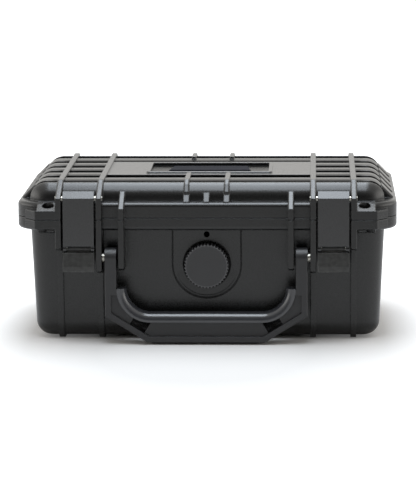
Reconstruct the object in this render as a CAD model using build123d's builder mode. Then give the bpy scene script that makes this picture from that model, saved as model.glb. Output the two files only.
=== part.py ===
"""Small waterproof carrying case for a camera drone: a moulded tub and a ribbed lid on two rear hinges,
two two-stage latches, a folding bail handle, a screw-down pressure valve and foam lining.

Millimetres. X runs left to right, Y from the front (negative) to the hinges (positive), Z up.
The origin is on the floor under the middle of the case.
"""

import os

from build123d import *

# ---------------------------------------------------------------- driving dimensions

rim_width = 212.0           # over the rim flange, left to right
rim_depth = 152.0           # over the rim flange, front to back
rim_corner = 18.0           # plan radius of the flange corners
rim_overhang = 7.3          # how far the flange stands out of the front and back walls
side_overhang = 6.5         # the same at the sides
seam_z = 70.0               # height of the joint between tub and lid
seam_gap = 0.4              # open line between the two rims
wall = 3.0

# tub
rail_height = 1.5           # rails under the floor and ribs up the walls
tub_corner = 13.0
tub_draft = 2.8             # degrees
tub_floor_round = 8.5
tub_flange_depth = 7.0      # from the seam down to the flange's underside
flange_round = 2.2

# lid
lid_skin_rise = 18.5        # from the seam to the smooth top skin
lid_rib_rise = 1.5          # how far the long ribs stand out of the skin
lid_flange_depth = 8.5      # from the seam up to the flange's top
lid_corner = 11.0
lid_edge_round = 9.0
ridge_pitch = 22.6          # the arched ridges across the lid
groove_width = 8.0
groove_depth = 1.8
crown_rise = 0.6            # how much of that the arch of a ridge's back takes up
groove_round = 0.6
groove_count = 6
buttress_reach = 4.6        # feet of the ridges on the flange, at both ends of the lid
buttress_rise = 7.0
buttress_toe = 0.5
buttress_round = 1.8

# long ribs that run over the lid, down the front and back and under the floor
rib_width = 3.2
rib_round = 0.6
rib_inset = 24.2            # from the side of the rim to the middle of the outer rib
bay_pitch = 22.5            # from the outer rib to the inner rib, with the latch between them
guard_pitch = 12.3          # from the inner rib to the short rib on the other side of the handle's arm
front_reach = 8.0           # from the rim to the plane that ribs, latches and handle share
front_shoulder = 12.0       # from the seam up to the bend in the ribs' front edge
inner_rib_drop = 28.6       # from the seam down to the end of each thick rib
outer_rib_drop = 16.0
guard_rib_drop = 27.1
short_rib_x = 11.2
short_rib_width = 2.8
short_rib_front_run = 37.7  # from the lid's front wall back to the end of the short ribs
short_rib_back_run = 24.7
ear_round = 4.5
rib_front_run = 6.0         # from the lid's walls back to where a long rib's level top starts
rib_back_run = 7.0
rib_back_reach = 3.0        # the bend in a long rib behind the lid's back wall
rib_back_fall = 5.0
rib_root = 1.0              # how far ribs are let into what they stand on
guard_fall = 2.3            # from the flange's top down to the front end of the guard rib's slope
guard_lean = 1.5
guard_rise = 5.5
short_rib_bevel = 2.2
gusset_inset = 1.5          # from the flange edge back to a gusset's foot
gusset_toe = 0.5
gusset_rise = 4.6

# hinge
hinge_reach = 4.0           # from the rim back to the hinge pin
hinge_knuckle_r = 4.5
hinge_pin_r = 1.5
knuckle_gap = 0.4           # between a knuckle and the rib ears beside it
hinge_relief = 0.5          # radial room around a knuckle
ear_root_drop = 20.0        # from the seam down to where the hinge ears leave the back wall

# padlock lugs at the front corners
lug_hole_r = 3.25
lug_hole_inset = 18.2       # from the side of the rim
lug_hole_reach = 1.0        # in front of the rim
lug_front_inset = 11.5      # from the side of the rim to the end of the lug's front face
lug_side_inset = 5.5
lug_boss_inset = 12.3       # from the side of the rim to the end of the raised face round the hole
lug_root = 6.0              # how far back from the rim the lug starts
lug_front_half = 4.8        # half height at the front, each side of the seam
lug_back_half = 9.0         # half height at its root

# seal
seal_line = 6.5             # from the flange edge in to the middle of the seal
groove_slot = 3.8
groove_slot_depth = 4.6
seal_width = 3.4
seal_height = 2.2
tongue_width = 2.2
tongue_height = 2.5

# latch
latch_side_gap = 0.95       # between a latch and the ribs beside it
latch_pin_back = 4.4        # from the front plane back to the pin
latch_pin_rise = 11.3       # from the seam up to the pin
latch_pin_r = 1.5
latch_barrel_r = 4.2
clasp_plate = 2.6
clasp_round = 0.5
clasp_brow = 0.7            # the clasp's front edge stands this far above the pin, below a bevelled top
clasp_drop = 14.9           # from the seam down to the clasp's lower edge
cheek = 2.0
lever_pin_back = 5.4
lever_pin_drop = 16.6
lever_pin_r = 1.0
lever_barrel_r = 2.2
lever_ear_r = 3.0
lever_top_drop = 18.4
lever_height = 10.5
lever_setback = 1.2         # the lever's upper edge stands this far behind the clasp's face
lever_flare = 1.9           # how far the lever's lower edge stands out of its top
lip_plate = 2.4
nose_height = 2.8
notch_depth = 3.0           # how far the flange is cut back behind each latch
keeper_width = 15.0
keeper_drop = 19.0          # from the seam down to the keeper's lower edge
keeper_lean = 1.0           # the keeper's face leans out by this much, to follow the opening lid

# handle
pivot_drop = 21.7           # from the seam down to the handle's pins
handle_pin_r = 2.5
handle_pin_stop = 1.0       # arm left in front of its pin's blind end
handle_thickness = 11.2
handle_side_gap = 1.4       # between an arm and the rib beside it
handle_length = 47.0        # from the pins to the handle's outer edge
arm_width = 6.6
step_drop = 16.9            # from the pins to the step below the arms
step_width = 5.3            # how far the step stands in from the arm
grip_bend_r = 13.5
grip_round = 4.2
bow_slope_run = 23.7        # width and height of the bow's sloping corners
bow_slope_rise = 14.7
bow_strip = 3.4             # width of the outer strip of the bow
bow_round = 0.9
bow_pocket_depth = 2.2
bow_pocket_drop = 3.5       # from the step down to the pocket
slot_inset = 16.0           # from the arm's outer side to the middle of a slot in the bow's corner
slot_length = 9.4

# pressure valve
valve_drop = 27.1           # from the seam down to the knob's middle
panel_half_width = 19.1
panel_line = 0.6
knob_r = 12.3
knob_teeth = 40
knob_notch_r = 0.7
knob_height = 9.8
knob_gap = 1.1              # between the knob's back and the dish floor
knob_rim = 1.0              # left outside the recess in the knob's back
knob_recess = 0.7
dish_gap = 0.9              # radial room between the knob and its dish
dish_slope = 0.3
dish_depth = 2.6
boss_wall = 4.3             # round the dish
bush_r = 5.5
bush_flange_r = 8.0
bush_flange = 1.2
bush_length = 7.5           # from the dish floor inwards
bush_seat_r = 4.4           # counterbore that holds the membrane
bush_seat = 2.0
stem_r = 3.0
stem_end_gap = 0.6
membrane_thickness = 0.3
clip_bore_r = 3.2
nut_flats = 14.0
nut_thickness = 2.8
o_ring_inset = 2.1          # from the knob's edge in to the middle of the seal's section
o_ring_section_r = 0.8
vent_hole_r = 1.5
vent_hole_depth = 2.4
vent_hole_rise = 17.0       # above the knob's middle

# label
label_frame_width = 72.0
label_frame_depth = 44.5
label_frame_line = 2.2
label_frame_rise = 0.8
label_recess = 1.0
label_width = 47.0
label_depth = 19.0
label_slant = 2.0
label_thickness = 1.2

# foam
foam_gap = 0.5
pad_thickness = 5.0
tray_drop = 1.4             # from the seam down to the tray's top
lid_foam_rise = 1.2         # from the seam up to the lid foam
drone_pocket_size = (104.0, 98.0)
drone_pocket_depth = 44.0
drone_pocket_wall = 10.0    # foam left outside the large pocket
cell_pocket_size = (50.0, 26.0)
cell_pocket_depth = 34.0
cell_pocket_wall = 14.0
cell_pocket_count = 3
cell_pocket_pitch = 36.0
pocket_corner = 7.0
finger_r = 11.0             # scoop beside the large pocket
finger_depth = 26.0

running = 0.05              # radial clearance of a pin in its bore
side_gap = 0.3              # between pieces that slide past each other
pin_end = 0.2               # how far a pin stands out of its last bore, or stays inside it

# ---------------------------------------------------------------- values that follow

sides = (-1, 1)
base_top_z = seam_z - seam_gap / 2
lid_bottom_z = seam_z + seam_gap / 2
tub_flange_z = seam_z - tub_flange_depth
lid_flange_z = seam_z + lid_flange_depth
lid_skin_z = seam_z + lid_skin_rise
case_height = lid_skin_z + lid_rib_rise
body_width = rim_width - 2 * side_overhang
body_depth = rim_depth - 2 * rim_overhang
wall_y = body_depth / 2
wall_mid_y = wall_y - wall / 2
front_root_y = -wall_mid_y
front_y = -(rim_depth / 2 + front_reach)
hinge_y = rim_depth / 2 + hinge_reach

rib_outer_x = rim_width / 2 - rib_inset
rib_inner_x = rib_outer_x - bay_pitch
guard_rib_x = rib_inner_x - guard_pitch
long_rib_xs = (-rib_outer_x, -rib_inner_x, rib_inner_x, rib_outer_x)
bay_inner_x = rib_inner_x + rib_width / 2
bay_outer_x = rib_outer_x - rib_width / 2
lug_x = rim_width / 2 - lug_hole_inset
lug_y = -(rim_depth / 2 + lug_hole_reach)
lug_inner_x = rib_outer_x + rib_width / 4
lug_back_y = -(rim_depth / 2 - lug_root)

latch_x = (bay_inner_x + bay_outer_x) / 2
latch_half = (bay_outer_x - bay_inner_x) / 2 - latch_side_gap
latch_width = 2 * latch_half
latch_pin_y = front_y + latch_pin_back
latch_pin_z = seam_z + latch_pin_rise
clasp_bottom_z = seam_z - clasp_drop
lever_pin_y = front_y + lever_pin_back
lever_pin_z = seam_z - lever_pin_drop
lever_top_z = seam_z - lever_top_drop
lever_bottom_z = lever_top_z - lever_height
notch_y = -(rim_depth / 2 - notch_depth)
keeper_bottom_z = seam_z - keeper_drop

pivot_y = front_y + handle_thickness / 2
pivot_z = seam_z - pivot_drop
handle_bottom_z = pivot_z - handle_length
arm_outer_x = rib_inner_x - rib_width / 2 - handle_side_gap
arm_inner_x = arm_outer_x - arm_width
step_x = arm_inner_x - step_width
step_z = pivot_z - step_drop
valve_z = seam_z - valve_drop
dish_floor_y = -wall_y + 1 + dish_depth
dish_r = knob_r + dish_gap
boss_r = dish_r + boss_wall
knob_recess_r = knob_r - knob_rim
o_ring_r = knob_r - o_ring_inset


def side_plane(x):
    """A sketch plane across the case at x: its own X is the case's Y and its own Y is the case's Z."""
    return Plane(origin=(x, 0, 0), x_dir=(0, 1, 0), z_dir=(1, 0, 0))


def front_plane(y):
    """A sketch plane facing the front at y: its own X is the case's X and its own Y is the case's Z."""
    return Plane(origin=(0, y, 0), x_dir=(1, 0, 0), z_dir=(0, -1, 0))


def plate(points, x, width, rounding=0.0, rounded_corners=(), corner_r=0.0):
    """A plate of that width centred on x, with an outline in Y and Z."""
    with BuildPart() as made:
        with BuildSketch(side_plane(x)) as outline:
            with BuildLine():
                Polyline(*points, close=True)
            make_face()
            if rounded_corners:
                near = [
                    outline.vertices().sort_by_distance(side_plane(x).from_local_coords((*points[n], 0)))[0]
                    for n in rounded_corners
                ]
                fillet(near, corner_r)
        extrude(amount=width / 2, both=True)
        if rounding:
            caps = made.faces().filter_by(Axis.X)
            fillet(caps.edges(), rounding)
    return made.part


def rod(y, z, radius, x_from, x_to):
    """A round bar along X."""
    with BuildPart() as made:
        with BuildSketch(side_plane(min(x_from, x_to))):
            with Locations((y, z)):
                Circle(radius)
        extrude(amount=abs(x_to - x_from))
    return made.part


def block(x_range, y_range, z_range):
    """A plain box between three pairs of limits, for cutting and intersecting."""
    with BuildPart() as made:
        with Locations(tuple((a + b) / 2 for a, b in (x_range, y_range, z_range))):
            Box(*[abs(b - a) for a, b in (x_range, y_range, z_range)])
    return made.part


def tub_form(inset, floor_z, floor_round):
    """The tub as a solid, drawn in by inset, with its drafted walls and round floor edges."""
    with BuildPart() as made:
        with BuildSketch(Plane.XY.offset(base_top_z)):
            RectangleRounded(body_width - 2 * inset, body_depth - 2 * inset, tub_corner - inset)
        extrude(amount=base_top_z - floor_z, dir=(0, 0, -1), taper=tub_draft)
        fillet(made.faces().sort_by(Axis.Z)[0].edges(), floor_round)
    return made.part


def lid_form(inset):
    """The lid's bulged top as a solid, drawn in by inset."""
    with BuildPart() as made:
        with BuildSketch(Plane.XY.offset(lid_bottom_z)):
            RectangleRounded(body_width - 2 * inset, body_depth - 2 * inset, lid_corner - inset)
        extrude(amount=lid_skin_z - inset - lid_bottom_z)
        fillet(made.faces().sort_by(Axis.Z)[-1].edges(), lid_edge_round - inset)
    return made.part


def rim_ring(z_from, z_to, centre_line, width):
    """A flat band that runs round the rim at a distance in from the flange edge."""
    with BuildPart() as made:
        with BuildSketch(Plane.XY.offset(z_from)):
            for edge, mode in (
                (centre_line - width / 2, Mode.ADD),
                (centre_line + width / 2, Mode.SUBTRACT),
            ):
                RectangleRounded(rim_width - 2 * edge, rim_depth - 2 * edge, rim_corner - edge, mode=mode)
        extrude(amount=z_to - z_from)
    return made.part


def flange_form(z_from, z_to, rounded_end):
    """The rim flange as a solid slab, with its outer edge rounded at the end away from the seam."""
    with BuildPart() as made:
        with BuildSketch(Plane.XY.offset(z_from)):
            RectangleRounded(rim_width, rim_depth, rim_corner)
        extrude(amount=z_to - z_from)
        fillet(made.faces().sort_by(Axis.Z)[rounded_end].edges(), flange_round)
    return made.part


def lug_form(side, upward):
    """Half of a padlock lug: a block with a bevelled outer corner and a face that slopes from the seam."""
    seam = lid_bottom_z if upward else base_top_z
    away = 1 if upward else -1
    with BuildPart() as made:
        with BuildSketch(Plane.XY.offset(seam)):
            with BuildLine():
                Polyline(
                    (side * lug_inner_x, lug_back_y),
                    (side * lug_inner_x, front_y),
                    (side * (rim_width / 2 - lug_front_inset), front_y),
                    (side * (rim_width / 2 - lug_side_inset), front_y + front_reach),
                    (side * (rim_width / 2 - lug_side_inset), lug_back_y),
                    close=True,
                )
            make_face()
        extrude(amount=away * lug_back_half)
        reach = front_y - 1
        slope = (lug_back_half - lug_front_half) / (lug_back_y - front_y)
        with BuildSketch(side_plane(side * lug_x)):
            with BuildLine():
                Polyline(
                    (reach, seam + away * (lug_front_half - slope)),
                    (lug_back_y, seam + away * lug_back_half),
                    (reach, seam + away * lug_back_half),
                    close=True,
                )
            make_face()
        extrude(amount=rim_width / 4, both=True, mode=Mode.SUBTRACT)
        # outside the raised face the lug is as flat as its front edge
        boss_x, front_z = side * (rim_width / 2 - lug_boss_inset), seam + away * lug_front_half
        x_range, y_range = (boss_x, side * rim_width), (reach, lug_back_y)
        add(block(x_range, y_range, (front_z, front_z + away * lug_back_half)), mode=Mode.SUBTRACT)
    return made.part


# ---------------------------------------------------------------- tub

tub_outer = tub_form(0, rail_height, tub_floor_round)
tub_grown = tub_form(-rail_height, 0, tub_floor_round + rail_height)
tub_cavity = tub_form(wall, rail_height + wall, tub_floor_round - wall)
tub_flange = flange_form(tub_flange_z, base_top_z, 0)
tongue = rim_ring(base_top_z, base_top_z + tongue_height, seal_line, tongue_width)

tub_ribs = []
for x, end_z in (
    (rib_inner_x, seam_z - inner_rib_drop),
    (rib_outer_x, seam_z - outer_rib_drop),
    (guard_rib_x, seam_z - guard_rib_drop),
):
    outline = (
        (front_root_y, base_top_z),
        (front_y, base_top_z),
        (front_y, end_z),
        (front_root_y, end_z - 4),
    )
    tub_ribs += [plate(outline, side * x, rib_width, rib_round, (2,), ear_round) for side in sides]

hinge_ears = []
for x in long_rib_xs:
    ear = plate(
        (
            (wall_mid_y, base_top_z),
            (hinge_y + hinge_knuckle_r, base_top_z),
            (hinge_y + hinge_knuckle_r, seam_z - ear_root_drop + 9),
            (wall_mid_y, seam_z - ear_root_drop),
        ),
        x,
        rib_width,
        0,
        (2,),
        ear_round,
    )
    hinge_ears += [ear, rod(hinge_y, seam_z, hinge_knuckle_r, x - rib_width / 2, x + rib_width / 2)]

keepers = [
    plate(
        (
            (front_root_y, tub_flange_z + 0.5),
            (notch_y, tub_flange_z + 0.5),
            (notch_y, tub_flange_z - 2),
            (notch_y + keeper_lean, keeper_bottom_z),
            (front_root_y, keeper_bottom_z - 3),
        ),
        side * latch_x,
        keeper_width,
    )
    for side in sides
]

# The knob sits in a round dish; the wall is thickened behind it.
with BuildPart() as dish_boss:
    with BuildSketch(front_plane(front_root_y)):
        with Locations((0, valve_z)):
            Circle(boss_r)
    extrude(amount=-(wall / 2 + dish_depth + wall / 2))

with BuildPart() as dish_cut:
    with BuildSketch(front_plane(-wall_y - 1)):
        with Locations((0, valve_z)):
            Circle(dish_r + dish_slope)
    with BuildSketch(front_plane(dish_floor_y)):
        with Locations((0, valve_z)):
            Circle(dish_r - dish_slope)
    loft()

with BuildPart() as panel_outline:
    with BuildSketch(front_plane(-wall_y - 2)):
        for half, mode in (
            (panel_half_width + panel_line / 2, Mode.ADD),
            (panel_half_width - panel_line / 2, Mode.SUBTRACT),
        ):
            with Locations((0, valve_z)):
                Circle(half, mode=mode)
            with Locations((0, (valve_z + tub_flange_z) / 2)):
                Rectangle(2 * half, tub_flange_z - valve_z, mode=mode)
    extrude(amount=-8)
tub_within = tub_form(panel_line, rail_height, tub_floor_round - panel_line)
panel_groove = (tub_outer - tub_within) & panel_outline.part

with BuildPart() as base_shell:
    add(tub_outer)
    for x in long_rib_xs:
        add(tub_grown & block((x - rib_width / 2, x + rib_width / 2), (-100, 100), (0, base_top_z)))
    add(tub_flange)
    add(tub_ribs)
    add(hinge_ears)
    for side in sides:
        add(lug_form(side, False))
    # room for the lid's knuckles
    for side in sides:
        add(
            rod(hinge_y, seam_z, hinge_knuckle_r + hinge_relief, side * bay_inner_x, side * bay_outer_x),
            mode=Mode.SUBTRACT,
        )
    # the flange is cut back behind the latches, down to the keepers
    for side in sides:
        bay = (side * bay_inner_x, side * bay_outer_x)
        add(block(bay, (notch_y, 2 * front_y), (tub_flange_z - 1, seam_z + 1)), mode=Mode.SUBTRACT)
    add(keepers)
    add(tub_cavity, mode=Mode.SUBTRACT)
    add(tongue)
    add(dish_boss.part)
    add(dish_cut.part, mode=Mode.SUBTRACT)
    add(panel_groove, mode=Mode.SUBTRACT)
    # bores
    with Locations([Location((side * lug_x, lug_y, seam_z)) for side in sides]):
        Cylinder(lug_hole_r, 4 * lug_back_half, mode=Mode.SUBTRACT)
    for side in sides:
        add(
            rod(hinge_y, seam_z, hinge_pin_r + running, side * (rib_inner_x - 5), side * (rib_outer_x + 5)),
            mode=Mode.SUBTRACT,
        )
        add(
            rod(
                pivot_y,
                pivot_z,
                handle_pin_r + running,
                side * arm_outer_x,
                side * (rib_inner_x + rib_width),
            ),
            mode=Mode.SUBTRACT,
        )
    with Locations(Location((0, dish_floor_y, valve_z), (90, 0, 0))):
        Cylinder(bush_r + running, 4 * wall, mode=Mode.SUBTRACT)
    with Locations(Location((0, -wall_y, valve_z + vent_hole_rise), (90, 0, 0))):
        Cylinder(vent_hole_r, 2 * vent_hole_depth, mode=Mode.SUBTRACT)
base_shell.part.label = "base_shell"

# ---------------------------------------------------------------- lid

lid_outer = lid_form(0)
lid_core = lid_form(groove_depth)
lid_cavity = lid_form(wall + groove_depth / 2)

groove_ys = [(n - (groove_count - 1) / 2) * ridge_pitch for n in range(groove_count)]
crown_width = ridge_pitch - groove_width
panel_edge_y = groove_ys[-2] - groove_width / 2
end_edge_y = groove_ys[-1] + groove_width / 2


def crowned_ridge(y):
    """One ridge with an arched back, carried up one end of the lid, over its top and down the other."""
    half_x, top_z = body_width / 2 - groove_depth, lid_skin_z - groove_depth
    with BuildPart() as made:
        with BuildLine(Plane.XZ.offset(-y)) as path:
            FilletPolyline(
                (-half_x, lid_bottom_z),
                (-half_x, top_z),
                (half_x, top_z),
                (half_x, lid_bottom_z),
                radius=lid_edge_round - groove_depth,
            )
        with BuildSketch(Plane(origin=(-half_x, y, lid_bottom_z), x_dir=(0, 1, 0), z_dir=(0, 0, 1))):
            with BuildLine():
                half, shoulder = crown_width / 2, groove_depth - crown_rise
                ThreePointArc((-half, shoulder), (0, groove_depth), (half, shoulder))
                Polyline((half, shoulder), (half, -wall / 2), (-half, -wall / 2), (-half, shoulder))
            make_face()
        sweep(path=path.wires()[0])
    return made.part


def end_ridge(side):
    """The lid's front or back edge, outside the last groove."""
    with BuildPart() as made:
        y_range = (side * end_edge_y, side * body_depth)
        add(lid_outer & block((-body_width, body_width), y_range, (lid_bottom_z, case_height)))
        inner_face = made.faces().filter_by(Axis.Y).sort_by(lambda f: abs(f.center().Y))[0]
        fillet([e for e in inner_face.edges() if e.center().Z > lid_bottom_z + 0.1], groove_round)
    return made.part


def buttress(side, y):
    """The sloping foot of a ridge on the flange, at one end of the lid."""
    root_x, toe_x = body_width / 2 - groove_depth, body_width / 2 + buttress_reach
    with BuildPart() as made:
        with BuildSketch(front_plane(y)):
            with BuildLine():
                Polyline(
                    (side * root_x, lid_flange_z - buttress_toe),
                    (side * toe_x, lid_flange_z - buttress_toe),
                    (side * toe_x, lid_flange_z + buttress_toe),
                    (side * root_x, lid_flange_z + buttress_rise),
                    close=True,
                )
            make_face()
        extrude(amount=crown_width / 2, both=True)
        back = made.faces().sort_by(Axis.Z)[-1]
        fillet([e for e in back.edges() if abs(e.center().Y - y) > crown_width / 4], buttress_round)
    return made.part


ridge_ys = [n * ridge_pitch for n in range(-(groove_count // 2) + 1, groove_count // 2)]
ridges = [crowned_ridge(y) for y in ridge_ys]
buttresses = [buttress(side, y) for side in sides for y in ridge_ys]
ridges += [end_ridge(side) for side in sides]

lid_rib_outline = (
    (front_root_y, lid_bottom_z),
    (front_y, lid_bottom_z),
    (front_y, seam_z + front_shoulder),
    (-wall_y + rib_front_run, case_height),
    (wall_y - rib_back_run, case_height),
    (wall_y + rib_back_reach, case_height - rib_back_fall),
    (rim_depth / 2, lid_flange_z + rib_root),
    (rim_depth / 2, lid_flange_z - rib_root),
    (wall_mid_y, lid_bottom_z + rib_root),
)
guard_outline = (
    (front_root_y, lid_bottom_z),
    (front_y, lid_bottom_z),
    (front_y, lid_flange_z - guard_fall),
    (-wall_y + guard_lean, lid_flange_z + guard_rise),
    (front_root_y + rib_root, lid_flange_z + guard_fall),
)


def short_outline(side, run, root_y):
    """A short rib over the lid's front or back edge, from its end on the top down to the flange."""
    return (
        (side * (wall_y - run), lid_skin_z - 2 * rib_root),
        (side * (wall_y - run), case_height),
        (side * (wall_y - rib_back_run), case_height),
        (side * (wall_y - short_rib_bevel), case_height - short_rib_bevel),
        (side * (wall_y + lid_rib_rise), lid_flange_z + guard_rise),
        (side * (wall_y + lid_rib_rise), lid_flange_z - rib_root),
        (root_y, lid_flange_z - rib_root),
    )


gusset_outline = (
    (front_root_y, lid_flange_z - gusset_toe),
    (-rim_depth / 2 + gusset_inset, lid_flange_z - gusset_toe),
    (-rim_depth / 2 + gusset_inset, lid_flange_z + gusset_toe),
    (-wall_y - gusset_toe, lid_flange_z + gusset_rise),
    (front_root_y, lid_flange_z + gusset_rise),
)

lid_ribs = [plate(lid_rib_outline, x, rib_width, rib_round) for x in long_rib_xs]
lid_ribs += [plate(guard_outline, side * guard_rib_x, rib_width, rib_round) for side in sides]
for outline in (
    short_outline(-1, short_rib_front_run, front_root_y),
    short_outline(1, short_rib_back_run, wall_mid_y),
):
    lid_ribs += [plate(outline, side * short_rib_x, short_rib_width, rib_round) for side in sides]
gussets = [plate(gusset_outline, x, rib_width) for x in (-short_rib_x, 0, short_rib_x)]

knuckle_from = bay_inner_x + knuckle_gap
knuckle_to = bay_outer_x - knuckle_gap
knuckles = []
for side in sides:
    web = plate(
        (
            (rim_depth / 2 - 3, lid_bottom_z),
            (hinge_y, lid_bottom_z),
            (hinge_y, seam_z + hinge_knuckle_r),
            (rim_depth / 2 + 1, lid_flange_z - 0.6),
            (rim_depth / 2 - 3, lid_flange_z - 0.6),
        ),
        side * (knuckle_from + knuckle_to) / 2,
        knuckle_to - knuckle_from,
    )
    knuckles += [web, rod(hinge_y, seam_z, hinge_knuckle_r, side * knuckle_from, side * knuckle_to)]

with BuildPart() as label_frame:
    with BuildSketch(Plane.XY.offset(lid_skin_z - 1)):
        RectangleRounded(label_frame_width, label_frame_depth, 2)
    extrude(amount=1 + label_frame_rise)
    fillet(label_frame.faces().sort_by(Axis.Z)[-1].edges(), 0.4)

with BuildPart() as lid_shell:
    add(lid_core)
    add(ridges)
    # smooth panel between the inner ribs
    add(
        lid_outer
        & block((-rib_inner_x, rib_inner_x), (-panel_edge_y, panel_edge_y), (lid_bottom_z, case_height))
    )
    add(flange_form(lid_bottom_z, lid_flange_z, -1))
    add(buttresses)
    add(lid_ribs)
    add(gussets)
    for side in sides:
        add(lug_form(side, True))
    # the flange is cut back around the tub's hinge ears and behind the latches
    for x in long_rib_xs:
        reach = rib_width / 2 + knuckle_gap
        add(rod(hinge_y, seam_z, hinge_knuckle_r + hinge_relief, x - reach, x + reach), mode=Mode.SUBTRACT)
    for side in sides:
        bay = (side * bay_inner_x, side * bay_outer_x)
        add(block(bay, (notch_y, 2 * front_y), (seam_z - 1, case_height)), mode=Mode.SUBTRACT)
    add(knuckles)
    add(lid_cavity, mode=Mode.SUBTRACT)
    add(
        rim_ring(lid_bottom_z - 1, lid_bottom_z + groove_slot_depth, seal_line, groove_slot),
        mode=Mode.SUBTRACT,
    )
    add(label_frame.part)
    with BuildSketch(Plane.XY.offset(lid_skin_z - label_recess)):
        Rectangle(label_frame_width - 2 * label_frame_line, label_frame_depth - 2 * label_frame_line)
    extrude(amount=10, mode=Mode.SUBTRACT)
    # bores
    with Locations([Location((side * lug_x, lug_y, seam_z)) for side in sides]):
        Cylinder(lug_hole_r, 4 * lug_back_half, mode=Mode.SUBTRACT)
    for side in sides:
        add(
            rod(hinge_y, seam_z, hinge_pin_r + running, side * (knuckle_from - 1), side * (knuckle_to + 1)),
            mode=Mode.SUBTRACT,
        )
        x_range = (side * (rib_inner_x - rib_width), side * (rib_outer_x + rib_width))
        add(rod(latch_pin_y, latch_pin_z, latch_pin_r + running, *x_range), mode=Mode.SUBTRACT)
lid_shell.part.label = "lid_shell"

# ---------------------------------------------------------------- hinge pins, gasket, label

with BuildPart() as hinge_pins:
    for side in sides:
        add(
            rod(
                hinge_y,
                seam_z,
                hinge_pin_r,
                side * (rib_inner_x - rib_width / 2 - pin_end),
                side * (rib_outer_x + rib_width / 2 + pin_end),
            )
        )
hinge_pins.part.label = "hinge_pins"

groove_top_z = lid_bottom_z + groove_slot_depth
lid_gasket = rim_ring(groove_top_z - seal_height, groove_top_z, seal_line, seal_width)
lid_gasket.label = "lid_gasket"

label_floor_z = lid_skin_z - label_recess
with BuildPart() as label_plate:
    with BuildSketch(Plane.XY.offset(label_floor_z)):
        with BuildLine():
            half_x, half_y = label_width / 2, label_depth / 2
            Polyline(
                (-half_x, -half_y),
                (half_x, -half_y),
                (half_x - label_slant, half_y),
                (-half_x + label_slant, half_y),
                close=True,
            )
        make_face()
    extrude(amount=label_thickness)
    chamfer(label_plate.faces().sort_by(Axis.Z)[-1].edges(), 0.3)
label_plate.part.label = "label_plate"

# ---------------------------------------------------------------- latches

clasp_face_y = latch_pin_y - latch_barrel_r
nose_tip_y = notch_y + keeper_lean - side_gap
nose_top_z = keeper_bottom_z - side_gap - 0.1
lever_inner_half = latch_half - cheek - side_gap
clasp_outline = (
    (latch_pin_y, latch_pin_z + latch_barrel_r),
    (clasp_face_y, latch_pin_z + clasp_brow),
    (clasp_face_y, clasp_bottom_z),
    (clasp_face_y + clasp_plate, clasp_bottom_z),
    (
        clasp_face_y + clasp_plate,
        latch_pin_z - (latch_barrel_r**2 - (latch_barrel_r - clasp_plate) ** 2) ** 0.5,
    ),
)
cheek_outline = (
    (clasp_face_y + clasp_plate - 0.5, clasp_bottom_z + 9),
    (clasp_face_y + clasp_plate - 0.5, clasp_bottom_z + 0.1),
    (lever_pin_y - lever_ear_r * 0.8, lever_pin_z),
    (lever_pin_y + lever_ear_r, lever_pin_z),
    (lever_pin_y + lever_ear_r, clasp_bottom_z + 2.5),
)
lip_face_y = clasp_face_y + lever_setback
lip_back_y = lip_face_y + lip_plate
lip_outline = (
    (lip_face_y, lever_top_z),
    (lip_face_y - lever_flare, lever_bottom_z + 3),
    (lip_face_y - lever_flare + 0.2, lever_bottom_z),
    (lip_back_y - lever_flare + 0.2, lever_bottom_z),
    (lip_back_y, lever_top_z - 4.5),
    (lip_back_y + 1.2, lever_top_z),
)
nose_outline = (
    (lip_back_y - 0.5, lever_top_z),
    (lip_back_y - 0.5, nose_top_z - nose_height - 1),
    (lever_pin_y, nose_top_z - nose_height),
    (nose_tip_y - 0.9, nose_top_z - nose_height),
    (nose_tip_y, nose_top_z - nose_height + 0.9),
    (nose_tip_y, nose_top_z),
    (lever_pin_y + lever_barrel_r, nose_top_z),
    (lever_pin_y + lever_barrel_r, lever_pin_z),
    (lever_pin_y, lever_pin_z),
)


def latch_rod(side, y, z, radius, half_length):
    """A round bar along X, centred in one latch."""
    return rod(y, z, radius, side * latch_x - half_length, side * latch_x + half_length)


def soft_front(x_range, y_range, z_range):
    """A block whose front face has rounded edges, to trim a plate with."""
    with BuildPart() as made:
        add(block(x_range, y_range, z_range))
        fillet(made.faces().sort_by(Axis.Y)[0].edges(), clasp_round)
    return made.part


def clasp(side):
    """The upper piece of a latch: a plate that hangs from the lid's pin, with two cheeks for the lever."""
    with BuildPart() as made:
        with BuildSketch(side_plane(side * latch_x)) as profile:
            with BuildLine():
                Polyline(*clasp_outline)
                ThreePointArc(
                    clasp_outline[-1], (latch_pin_y + latch_barrel_r, latch_pin_z), clasp_outline[0]
                )
            make_face()
        extrude(amount=latch_half, both=True)
        add(
            soft_front(
                (side * latch_x - latch_half, side * latch_x + latch_half),
                (clasp_face_y, latch_pin_y + latch_barrel_r),
                (clasp_bottom_z, latch_pin_z + latch_barrel_r),
            ),
            mode=Mode.INTERSECT,
        )
        for end in sides:
            cheek_x = side * latch_x + end * (latch_half - cheek / 2)
            add(plate(cheek_outline, cheek_x, cheek))
            add(rod(lever_pin_y, lever_pin_z, lever_ear_r, cheek_x - cheek / 2, cheek_x + cheek / 2))
        add(
            latch_rod(side, latch_pin_y, latch_pin_z, latch_pin_r + running, latch_width),
            mode=Mode.SUBTRACT,
        )
        add(
            latch_rod(side, lever_pin_y, lever_pin_z, lever_pin_r + running, latch_width),
            mode=Mode.SUBTRACT,
        )
    return made.part


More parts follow.
